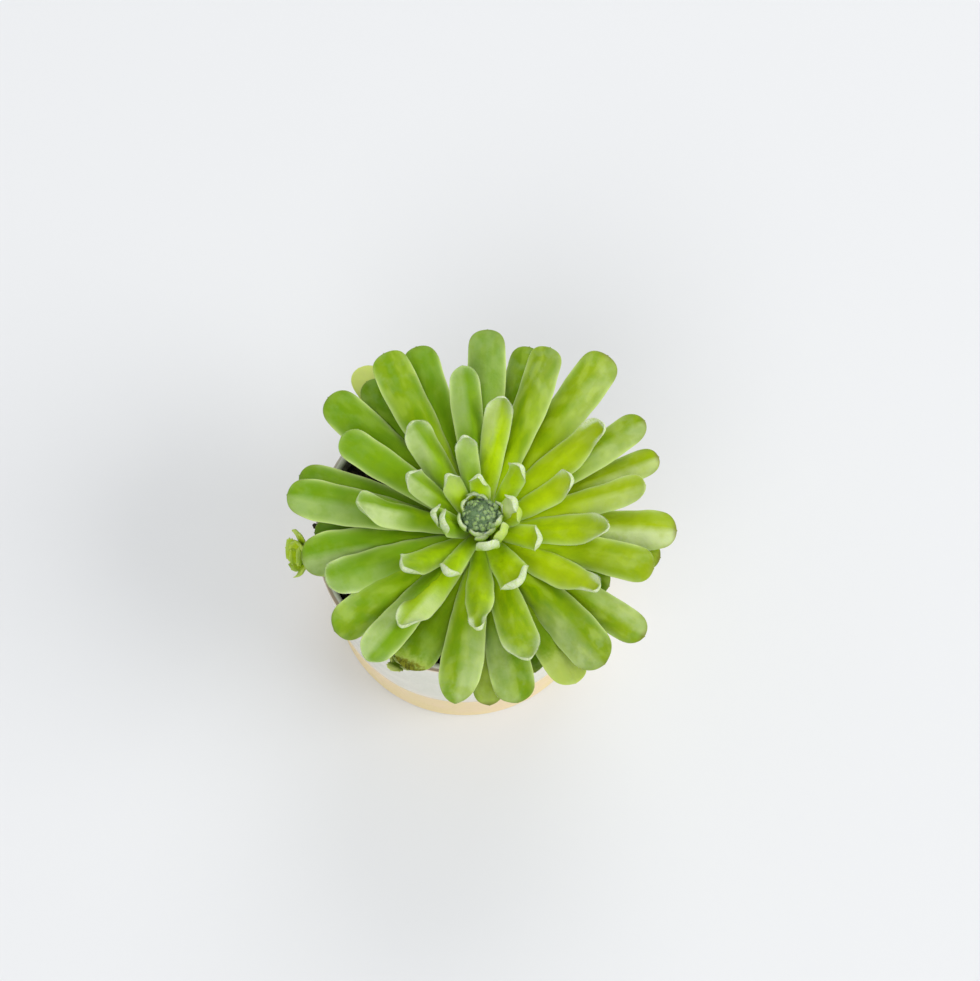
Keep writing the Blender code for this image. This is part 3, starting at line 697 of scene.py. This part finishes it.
def make_bud(finishes):
    """The closed heart of the rosette."""
    margins = []
    for name, kind in BUD_LEAVES.items():
        count, uneven = kind["count"], kind["uneven"]
        mesh = Mesh()
        for number in range(count):
            draws = np.random.default_rng((SEED, 100 + number, count))
            share = 1 if name == "bud_ring" else math.sqrt((number + 0.5) / count)
            spread = kind["reach"] * share + draws.normal(0, 0.35) * uneven * MM
            height = BUD_HEIGHT + mix(2.4, 0.6, share) * MM + draws.uniform(-1.3, 1.3) * MM
            azimuth = FIRST_LEAF_AZIMUTH - GOLDEN_ANGLE * (number + 1) + draws.normal(0, 8) * uneven
            leaf, margin = blade(
                azimuth=math.radians(azimuth), base=(0.7 * spread, BUD_HEIGHT - BUD_BASE_DEPTH),
                tip=(spread + 0.3 * MM, height), width=kind["width"] * draws.uniform(0.85, 1.15),
                thickness=kind["thickness"], curl=draws.uniform(50, 110), roll=draws.normal(0, 12),
                twist=draws.normal(0, 14), sway=draws.normal(0, 0.5), down=kind["down"],
                tint=draws.uniform(*kind["tint"]), seed=400 + 3.7 * number, draws=draws, **BUD_LEAF)
            mesh.add_rings(**leaf)
            margins.append(margin)
        carry(mesh.build(name, finishes[name], BUD_AXIS), "rosette")
    points, faces = pebble(4)
    draws = np.random.default_rng((SEED, 99))
    dents = ripples(points[:, 0] * 7 + 3 * points[:, 2], points[:, 1] * 7, 3.2, draws)
    shape = points * BUD_DOME_SIZE * (1 + 0.05 * dents[:, None]) + BUD_DOME_MIDDLE
    ones = np.ones((len(points), 1))
    mesh = Mesh()
    mesh.add(shape, faces, blade=ones * (0.9, 0, 0), skin=shape / MM, life=0 * shape,
             edge=ones * (0, 0.15, 0))
    carry(mesh.build("bud_dome", finishes["bud_heart"], BUD_AXIS), "rosette")
    return margins


# Down: fine hairs along the margins, thick at the tips of the young leaves.
HAIR_RADIUS = 0.045 * MM
HAIR_LENGTH = 0.6 * MM
HAIRS_PER_MM = 3
HAIR_FREE_SHARE = 0.35
HAIR_SINK = 0.12 * MM


def add_cones(mesh, root, heading, length, radius):
    """Stand three-sided cones on points, each along its own heading."""
    first = np.cross(heading, np.array((0.31, 0.17, 0.93)))
    first /= np.linalg.norm(first, axis=1)[:, None]
    second = np.cross(heading, first)
    corners = []
    for corner in range(3):
        turn = math.tau * corner / 3
        spoke = first * math.cos(turn) + second * math.sin(turn)
        corners.append(root - heading * HAIR_SINK + spoke * radius)
    corners.append(root + heading * length)
    faces = []
    for a in range(0, 4 * len(root), 4):
        faces += [(a, a + 1, a + 3), (a + 1, a + 2, a + 3), (a + 2, a, a + 3), (a + 2, a + 1, a)]
    mesh.add(np.stack(corners, axis=1), faces)


def add_dome_down(mesh):
    """Short down all over the dome of the bud."""
    draws = np.random.default_rng((SEED, 98))
    turn = draws.uniform(0, math.tau, BUD_DOME_HAIRS)
    rise = draws.uniform(0.25, 1, BUD_DOME_HAIRS)
    flat = np.sqrt(1 - rise ** 2)
    outwards = stacked(flat * np.cos(turn), flat * np.sin(turn), rise)
    heading = outwards + draws.normal(0, 0.45, outwards.shape)
    heading /= np.linalg.norm(heading, axis=1)[:, None]
    length = draws.uniform(0.7, 1.5, (BUD_DOME_HAIRS, 1)) * MM
    add_cones(mesh, outwards * BUD_DOME_SIZE + BUD_DOME_MIDDLE, heading, length, HAIR_RADIUS)


def add_hairs(mesh, margins, scale=1, closer=1):
    """Stand fine three-sided cones on both margins of a leaf, closer towards its tip."""
    draws, shares, down = margins["draws"], margins["shares"], margins["down"]
    count = int(HAIRS_PER_MM * closer * margins["length"] / MM * mix(0.45, 1, down))
    for edge in (0, 1):
        along = HAIR_FREE_SHARE + (1 - HAIR_FREE_SHARE) * draws.uniform(0, 1, count) ** 0.35
        ring = np.interp(along, shares, np.arange(len(shares)))
        low = np.clip(np.floor(ring).astype(int), 0, len(shares) - 2)
        part = (ring - low)[:, None]

        def at(values):
            return values[low] * (1 - part) + values[low + 1] * part

        root = at(margins["points"][:, edge])
        tipwards = smoothstep((along - 0.8) / 0.2)[:, None]
        heading = at(margins["outwards"][:, edge]) + at(margins["tangents"]) * (0.55 + 1.2 * tipwards)
        heading = heading + draws.normal(0, 0.28, (count, 3)) + at(margins["normals"]) * 0.15
        heading /= np.linalg.norm(heading, axis=1)[:, None]
        length = HAIR_LENGTH * scale * mix(0.4, 1, down) * draws.uniform(0.6, 1.15, count)[:, None]
        add_cones(mesh, root, heading, length * mix(0.45, 1, tipwards), HAIR_RADIUS * scale)


def make_down(name, all_margins, finish, shift=AXIS, scale=1, closer=1):
    """One piece of hairs for a group of leaves of the main rosette."""
    mesh = Mesh()
    for margins in all_margins:
        add_hairs(mesh, margins, scale, closer)
    if name == "bud_down":
        add_dome_down(mesh)
    carry(mesh.build(name, finish, shift), "rosette")


def hair_finish(name, colour):
    """Soft hairs that let a little light through."""
    return Graph(name).finish(Base_Color=colour, Roughness=0.55, Subsurface_Weight=0.3,
                              Subsurface_Radius=(1, 1, 0.6), Subsurface_Scale=0.5 * MM,
                              Specular_IOR_Level=0.3)


def make_crown():
    """The short stem and crown that carries the leaves."""
    g = Graph("stem")
    scars = g.noise(g.stretch(g.place(), (1, 1, 3)), 350, 3)
    colour = g.mix(g.rise(scars, 0.4, 0.65), (0.20, 0.22, 0.06), (0.10, 0.07, 0.03))
    finish = g.finish(Base_Color=colour, Roughness=0.75, Normal=g.bump(scars, 0.4 * MM))
    foot = SOIL_HEIGHT - STEM_DEPTH
    profile = [(STEM_RADIUS * 0.8, foot)]
    profile += [(radius * MM, SOIL_HEIGHT + height * MM) for radius, height in CROWN_PROFILE]
    radius, height = np.array(profile).T[..., None]
    angles = np.arange(CROWN_SIDES) * math.tau / CROWN_SIDES
    mesh = Mesh()
    mesh.add_rings(stacked(radius * np.cos(angles), radius * np.sin(angles), height),
                   (0, 0, foot), (0, 0, profile[-1][1] + 0.5 * MM))
    carry(mesh.build("crown", finish, AXIS), "rosette")


# The offsets, each on a runner: where it grows, in degrees round the pot from +X, how far out its hole and
# its heart are, its heart's height, its lean outwards in degrees, how faded it is, and how many leaves it
# has, of what width, and how much further than the rule they spread.
OFFSETS = {
    "offset_left": dict(azimuth=191, hole=50 * MM, heart=64 * MM, height=POT_HEIGHT + 4.2 * MM, lean=62,
                        slot="offset_leaf", old=0, leaves=8, width=11 * MM, spread=1.2),
    "offset_front": dict(azimuth=247.5, hole=50 * MM, heart=56 * MM, height=POT_HEIGHT + 1.6 * MM, lean=28,
                         slot="old_offset_leaf", old=0.45, leaves=14, width=7 * MM, spread=1),
}
RUNNER_RADIUS = 1.3 * MM
RUNNER_DEPTH = 10 * MM
RUNNER_SIDES = 20
RUNNER_STEPS = 24
OFFSET_TIP_REACH = (1.6 * MM, 8.8 * MM)
OFFSET_TIP_HEIGHT = (6.6 * MM, 5 * MM)
OFFSET_LEAF = dict(thickness=1.4 * MM, base_share=0.62, cup=0.10, spoon=0.1, ridge=0.1, bluntness=2.6,
                   widest=0.75, lip=0.2, down=0.12, teeth=0.22, stations=30, columns=11)


def runner_path(hole, heart, lean):
    """Points up the middle of a runner: straight out of its hole, then over towards the offset's heart."""
    mouth = np.array((hole, 0, SOIL_HEIGHT))
    end = np.array((heart[0], 0, heart[1]))
    span = np.linalg.norm(end - mouth)
    rising = mouth + np.array((0, 0, 0.55 * span))
    arriving = end - np.array((math.sin(lean), 0, math.cos(lean))) * 0.4 * span
    share = np.linspace(0, 1, RUNNER_STEPS)[:, None]
    rest = 1 - share
    curve = rest ** 3 * mouth + 3 * rest ** 2 * share * rising + 3 * rest * share ** 2 * arriving
    return np.concatenate(([mouth - np.array((0, 0, RUNNER_DEPTH))], curve + share ** 3 * end))


def make_offset(name, azimuth, hole, heart, height, lean, slot, old, leaves, width, spread, finish, down):
    """A small rosette with toothed, downy leaves on its runner, which leans outwards over the rim."""
    lean = math.radians(lean)
    turn = Matrix.Rotation(math.radians(azimuth), 4, "Z")
    place = turn @ Matrix.Translation((heart, 0, height)) @ Matrix.Rotation(lean, 4, "Y")
    spin = np.array(place.to_3x3())
    shift = np.array(place.translation)
    mesh, hairs = Mesh(), Mesh()
    for rank in range(leaves):
        share = (rank + 1) / leaves
        draws = np.random.default_rng((SEED, 200 + rank, int(azimuth)))
        leaf, margins = blade(
            azimuth=math.radians(GOLDEN_ANGLE * rank),
            base=(mix(0.2, 0.7, share) * MM, mix(0.2, -0.9, share) * MM),
            tip=(mix(*OFFSET_TIP_REACH, share) * spread, mix(*OFFSET_TIP_HEIGHT, share)),
            width=width * mix(0.6, 1, share), arch=mix(-15, 5, share), age=0.30 + old * share,
            curl=draws.uniform(5, 30), roll=draws.normal(0, 12), sway=draws.normal(0, 0.6),
            old=old * draws.uniform(0.3, 1), tint=draws.uniform(-1, 1) * (1 - 2 * old),
            seed=600 + 3.7 * rank, draws=draws, **OFFSET_LEAF)
        for key in ("rings", "foot", "apex"):
            leaf[key] = leaf[key] @ spin.T + shift
        margins["points"] = margins["points"] @ spin.T + shift
        for key in ("outwards", "tangents", "normals"):
            margins[key] = margins[key] @ spin.T
        mesh.add_rings(**leaf)
        add_hairs(hairs, margins, 0.6)
    path = runner_path(hole, (heart, height), lean)
    along = np.gradient(path, axis=0)
    along /= np.linalg.norm(along, axis=1)[:, None]
    across = stacked(along[:, 2], 0, -along[:, 0])
    angles = np.arange(RUNNER_SIDES) * math.tau / RUNNER_SIDES
    spokes = across[:, None, :] * np.cos(angles)[:, None] + np.array((0, 1, 0)) * np.sin(angles)[:, None]
    swelling = 1 + 0.08 * np.sin(np.arange(len(path)) * 1.9)
    turned = np.array(turn.to_3x3()).T
    tube = (path[:, None, :] + spokes * (RUNNER_RADIUS * swelling)[:, None, None]) @ turned
    ones = np.ones((*tube.shape[:2], 1))
    mesh.add_rings(tube, path[0] @ turned, path[-1] @ turned, blade=ones * (0.1, 0, 0), skin=tube / MM,
                   life=ones * (0.3, 0.4, 0.5), edge=0 * tube)
    carry(mesh.build(name + "_fine", finish), name)
    carry(hairs.build(name + "_down", down), name)


def pot_outer_radius(height):
    """Outside radius of the glazed wall at a height: a straight flare from foot to rim."""
    return mix(FOOT_RADIUS, RIM_RADIUS, height / POT_HEIGHT)


def pot_inner_radius(height):
    """Inside radius of the pot at a height."""
    return pot_outer_radius(height) - WALL


def glaze_wave(angles):
    """How far the edge of the glaze wanders up and down round the pot."""
    return GLAZE_EDGE_WAVE * (0.5 * np.sin(2 * angles + 0.6) + 0.3 * np.sin(5 * angles + 2)
                              + 0.2 * np.sin(13 * angles))


def ware_finish():
    """White glaze above a bare buff clay foot; the glaze is thin and brown at the lip, thick at its edge."""
    g = Graph("glazed_ware")
    above, lip, browning = g.parts("ware")
    place = g.place()
    clouds = g.noise(place, 45, 4)
    fine = g.noise(place, 600, 3)
    speckle = g.cells(place, 420)
    streaks = g.noise(g.stretch(place, (1, 1, 0.22)), 160, 3)
    glazed = g.rise(above, -0.15, 0.1)

    clay = g.coats(
        g.mix(g.rise(clouds, 0.35, 0.65), (0.81, 0.67, 0.37), (0.83, 0.665, 0.43)),
        (g.times(g.rise(streaks, 0.5, 0.7), 0.3), (0.80, 0.69, 0.38)),
        (g.times(g.rise(fine, 0.55, 0.75), 0.25), (0.62, 0.44, 0.24)))
    spots = g.times(g.rise(speckle, 0.16, 0.08), g.rise(fine, 0.55, 0.6))
    blush = g.times(g.rise(above, 7, 1), g.rise(clouds, 0.45, 0.6, 0.2, 0.9))
    pooled = g.times(g.rise(above, 1.6, 0.2), g.rise(streaks, 0.4, 0.6, 0.5, 0.95))
    thin = g.plus(lip, g.stray(clouds, 1.2))
    peach = g.times(g.rise(thin, -2.4, -1.5), g.rise(thin, -0.4, -1))
    brown = g.times(g.rise(thin, -1.3, -0.7), g.rise(thin, 1, 0.4))
    # Darker inside the pot above the mix: partly soil dust, partly painted shade in the hollow of the wall.
    dust_and_painted_shade = g.times(g.rise(lip, 2, 4.5), g.rise(fine, 0.35, 0.6, 0.5, 0.8))
    glaze = g.coats(
        g.mix(g.rise(clouds, 0.3, 0.7), (0.64, 0.65, 0.55), (0.72, 0.71, 0.62)),
        (g.times(g.rise(streaks, 0.5, 0.75), 0.35), (0.78, 0.78, 0.73)),
        (g.times(spots, 0.6), (0.34, 0.27, 0.18)),
        (g.times(blush, 0.6), (0.80, 0.66, 0.55)),
        (pooled, (0.60, 0.55, 0.26)),
        (g.times(peach, g.times(browning, 0.8)), (0.80, 0.62, 0.44)),
        (g.times(brown, browning), (0.27, 0.20, 0.12)),
        (dust_and_painted_shade, (0.20, 0.17, 0.15)))
    rough = g.plus(g.times(fine, 0.10), g.rise(glazed, 0, 1, 0.72, 0.16))
    relief = g.plus(g.times(fine, g.rise(glazed, 0, 1, 1, 0.08)), g.times(clouds, 0.8))
    return g.finish(Base_Color=g.mix(glazed, clay, glaze), Roughness=rough,
                    Normal=g.bump(relief, 0.12 * MM, 0.7), Specular_IOR_Level=0.5)


def make_pot():
    """The pot: turned wall with faint throwing rings, bare foot, glaze edge that wanders, rounded lip."""
    lip = WALL / 2
    lip_height = POT_HEIGHT - lip
    lip_middle = pot_outer_radius(lip_height) - lip
    edge = GLAZE_EDGE_HEIGHT
    # Each row has a radius, a height and how far it follows the wandering edge of the glaze.
    rows = []
    for angle in np.linspace(0, math.pi / 2, 7):
        rows.append((FOOT_RADIUS - FOOT_CHAMFER * (1 - math.sin(angle)),
                     FOOT_CHAMFER * (1 - math.cos(angle)), 0))
    for height in np.linspace(FOOT_CHAMFER + 0.6 * MM, edge - 1.4 * MM, 44):
        ring = CLAY_RING_DEPTH * math.sin(height / CLAY_RING_SPACING * math.tau) * 0.5
        rows.append((pot_outer_radius(height) - GLAZE_STEP + ring, height, smoothstep(height / edge)))
    for rise, inset in GLAZE_EDGE_PROFILE:
        rows.append((pot_outer_radius(edge + rise * MM) - inset * MM, edge + rise * MM, 1))
    for height in np.linspace(edge + 4 * MM, lip_height - 0.8 * MM, 40):
        swell = GLAZE_SWELL * math.sin(height / GLAZE_SWELL_SPACING * math.tau)
        swell = swell * smoothstep((height - edge) / GLAZE_SWELL_START)
        follows = 1 - smoothstep((height - edge) / GLAZE_WAVE_END)
        rows.append((pot_outer_radius(height) + swell, height, follows))
    first_lip = len(rows)
    for angle in np.linspace(0, math.pi, 17):
        rows.append((lip_middle + lip * math.cos(angle), lip_height + lip * math.sin(angle), 0))
    last_lip = len(rows)
    for height in np.linspace(lip_height - 1.5 * MM, FLOOR + 3 * MM, 18):
        rows.append((pot_inner_radius(height), height, 0))
    rows.append((pot_inner_radius(FLOOR) - 0.8 * MM, FLOOR + 0.8 * MM, 0))
    rows.append((pot_inner_radius(FLOOR) - 3 * MM, FLOOR, 0))

    radius, plain_height, follows = np.array(rows).T[..., None]
    angles = np.arange(POT_SIDES) * math.tau / POT_SIDES
    wave = follows * glaze_wave(angles)
    height = plain_height + wave
    steps = np.hypot(np.diff(radius, axis=0), np.diff(plain_height, axis=0))
    travelled = np.concatenate(([[0]], np.cumsum(steps, axis=0)))
    middle = travelled[(first_lip + last_lip) // 2 - 3]
    above = (height - edge - wave) / MM
    above[last_lip:] = 50
    browning = np.clip(0.70 + 0.35 * np.cos(angles - BROWN_LIP_AZIMUTH), 0.12, 1)
    mesh = Mesh()
    mesh.add_rings(stacked(radius * np.cos(angles), radius * np.sin(angles), height), (0, 0, 0),
                   (0, 0, FLOOR), ware=stacked(above, (travelled - middle) / MM, browning))
    carry(mesh.build("pot_fine", ware_finish()), "pot")


# Loose pieces on the mix: how many, their size in millimetres, how flat, long and dented they are, and their
# dark and light colours, roughness and the spacing of their mottling.
GRAINS = {
    "peat_crumbs": dict(count=620, size=(0.5, 1.5), flat=(0.6, 1), long=(1, 1.4), dented=0.30,
                        finish=((0.012, 0.009, 0.007), (0.060, 0.042, 0.028), 0.9, 1.5 * MM)),
    "bark_chips": dict(count=130, size=(1, 2.4), flat=(0.3, 0.5), long=(1.3, 2.4), dented=0.18,
                       finish=((0.045, 0.026, 0.014), (0.15, 0.09, 0.045), 0.8, 1.5 * MM)),
    "pumice_grit": dict(count=110, size=(0.7, 1.5), flat=(0.7, 1), long=(1, 1.2), dented=0.22,
                        finish=((0.10, 0.11, 0.08), (0.30, 0.31, 0.24), 0.85, 1 * MM)),
}
MIX_FINISH = ((0.010, 0.008, 0.006), (0.045, 0.034, 0.024), 0.9, 2 * MM)
RIM_CRUMB_AZIMUTH = math.radians(178.8)
RIM_CRUMB_SIZE = 1.1 * MM


def soil_surface(x, y):
    """Height of the potting mix, lumpy, and a little lower against the wall."""
    place = Vector((x, y, 0)) / SOIL_LUMP_SPACING
    reach = math.hypot(x, y) / pot_inner_radius(SOIL_HEIGHT)
    return SOIL_HEIGHT + SOIL_LUMP * noise.noise(place) - SOIL_DISH * reach ** 4


def soil_finish(name, dark, light, roughness, spacing):
    """Damp, dark, fibrous stuff."""
    g = Graph(name)
    place = g.place()
    lumps = g.noise(place, 1 / spacing, 5, 0.65)
    fine = g.noise(place, 2600, 3)
    fibres = g.noise(g.stretch(place, (1, 4, 2)), 700, 3)
    colour = g.coats(g.mix(g.rise(lumps, 0.35, 0.7), dark, light),
                     (g.times(g.rise(fibres, 0.58, 0.72), 0.5), (0.10, 0.07, 0.035)))
    return g.finish(Base_Color=colour, Roughness=g.rise(lumps, 0.3, 0.7, roughness - 0.15, roughness),
                    Normal=g.bump(g.plus(fine, g.times(fibres, 1.5)), 0.25 * MM), Specular_IOR_Level=0.3)


def add_grain(mesh, ball, place, size, flat, long, dented, draws):
    """One irregular grain: a pebble squashed, stretched, dented and turned at random."""
    points, faces = ball
    dents = ripples(points[:, 0] + points[:, 2], points[:, 1] - 0.6 * points[:, 2], 1.1, draws)
    shape = points * (1 + dented * dents[:, None]) * np.array((long, 1, flat))
    spin = Matrix.Rotation(draws.uniform(0, math.tau), 3, "Z")
    spin = spin @ Matrix.Rotation(draws.normal(0, 0.35), 3, "X")
    mesh.add(shape @ np.array(spin).T * size + np.array(place), faces)


def make_soil():
    """The potting mix and the loose pieces on it."""
    edge = pot_inner_radius(SOIL_HEIGHT) - TOUCHING_GAP
    bottom = pot_inner_radius(FLOOR) - TOUCHING_GAP - SOIL_FOOT_INSET
    foot = (0, 0, FLOOR + TOUCHING_GAP)
    angles = np.arange(SOIL_SIDES) * math.tau / SOIL_SIDES
    points = [(*polar(bottom, angle), foot[2]) for angle in angles]
    for ring in range(SOIL_RINGS, 0, -1):
        for angle in angles:
            x, y = polar(edge * ring / SOIL_RINGS, angle)
            crumb = noise.fractal(Vector((x, y, 3 * MM)) / SOIL_CRUMB_SPACING, 0.7, 2, 4) * SOIL_CRUMB
            points.append((x, y, soil_surface(x, y) + crumb))
    rings = np.array(points).reshape(SOIL_RINGS + 1, SOIL_SIDES, 3)
    mesh = Mesh()
    mesh.add_rings(rings, foot, (0, 0, soil_surface(0, 0)))
    carry(mesh.build("potting_mix", soil_finish("potting_mix", *MIX_FINISH)), "soil")
    ball = pebble(2)
    for number, (name, kind) in enumerate(GRAINS.items()):
        draws = np.random.default_rng((SEED, 300 + number))
        mesh = Mesh()
        for _ in range(kind["count"]):
            size = draws.uniform(*kind["size"]) * MM
            long = draws.uniform(*kind["long"])
            reach = (edge - size * long * 1.2) * math.sqrt(draws.uniform(0.08, 1))
            x, y = polar(reach, draws.uniform(0, math.tau))
            place = (x, y, soil_surface(x, y) + 0.25 * size)
            add_grain(mesh, ball, place, size, draws.uniform(*kind["flat"]), long, kind["dented"], draws)
        if name == "peat_crumbs":
            place = (*polar(RIM_RADIUS, RIM_CRUMB_AZIMUTH), POT_HEIGHT + 0.4 * MM)
            add_grain(mesh, ball, place, RIM_CRUMB_SIZE, 0.8, 1.1, kind["dented"], draws)
        carry(mesh.build(name, soil_finish(name, *kind["finish"])), "soil")


def make_plants():
    """The rosette, its offsets and their down."""
    # Dark green of the oldest leaves: partly their own colour, partly painted shade from under the upper
    # leaves.
    aged_and_shaded = (0.11, 0.21, 0.004)
    leaf = leaf_skin("leaf", (0.50, 0.71, 0.001), (0.205, 0.34, 0.001), (0.225, 0.345, 0.014), aged_and_shaded,
                     (0.57, 0.71, 0.26))
    bud = leaf_skin("bud_leaf", (0.12, 0.23, 0.10), (0.12, 0.23, 0.10), (0.17, 0.30, 0.15), aged_and_shaded,
                    (0.30, 0.42, 0.24))
    offset = leaf_skin("offset_leaf", (0.46, 0.62, 0.003), (0.40, 0.58, 0.002), (0.36, 0.50, 0.005), aged_and_shaded,
                       (0.50, 0.62, 0.12))
    old_offset = leaf_skin("old_offset_leaf", (0.10, 0.13, 0.01), (0.06, 0.08, 0.01), (0.11, 0.10, 0.02),
                           aged_and_shaded, (0.26, 0.28, 0.07))
    down = hair_finish("down", (0.62, 0.72, 0.42))
    grey_down = hair_finish("grey_down", (0.26, 0.40, 0.22))
    margins = make_leaves(leaf)
    bud_margins = make_bud({"bud_ring": leaf, "bud_heart": bud})
    make_crown()
    make_down("leaf_down", margins, down)
    make_down("bud_down", bud_margins, grey_down, BUD_AXIS, 1.1, 4)
    for (name, values), finish in zip(OFFSETS.items(), (offset, old_offset)):
        make_offset(name, **values, finish=finish, down=down)


# The studio: each lamp's place, size across and power in watts.
LAMPS = {
    "front_softbox": ((-1.12, -4.05, 4.52), 4.6, 120),
    "right_softbox": ((5.00, -0.90, 3.47), 4.2, 175),
    "back_softbox": ((1.00, 5.20, 4.10), 4.6, 112),
}
LAMP_AIM = (0, 0, 0.09)
FLOOR_HALF = 6
SKY_COLOUR = (0.95, 0.97, 1, 1)
SKY_STRENGTH = 0.62


def make_stage():
    """Pale floor, soft studio light and the camera."""
    scene = bpy.context.scene
    camera_data = bpy.data.cameras.new("camera")
    camera_data.sensor_width = SENSOR_WIDTH
    camera_data.sensor_fit = "HORIZONTAL"
    camera_data.lens = FOCAL_PIXELS * SENSOR_WIDTH / PHOTO_WIDTH
    camera = bpy.data.objects.new("camera", camera_data)
    camera.location = CAMERA_PLACE
    camera.rotation_euler = (math.radians(CAMERA_TILT), 0, 0)
    scene.collection.objects.link(camera)
    scene.camera = camera

    finish = Graph("floor").finish(Base_Color=(0.745, 0.75, 0.755), Roughness=0.9, Specular_IOR_Level=0.1)
    mesh = Mesh()
    mesh.add([(x * FLOOR_HALF, y * FLOOR_HALF, 0) for x, y in ((-1, -1), (1, -1), (1, 1), (-1, 1))],
             [(0, 1, 2, 3)])
    mesh.build("floor", finish)

    world = bpy.data.worlds.new("studio")
    world.use_nodes = True
    background = world.node_tree.nodes["Background"]
    background.inputs["Color"].default_value = SKY_COLOUR
    background.inputs["Strength"].default_value = SKY_STRENGTH
    scene.world = world
    for name, (place, size, power) in LAMPS.items():
        data = bpy.data.lights.new(name, "AREA")
        data.shape = "DISK"
        data.size = size
        data.energy = power
        lamp = bpy.data.objects.new(name, data)
        lamp.location = place
        lamp.rotation_euler = (Vector(LAMP_AIM) - Vector(place)).to_track_quat("-Z", "Y").to_euler()
        scene.collection.objects.link(lamp)
    scene.view_settings.view_transform = "Standard"


make_stage()
make_pot()
make_soil()
make_plants()
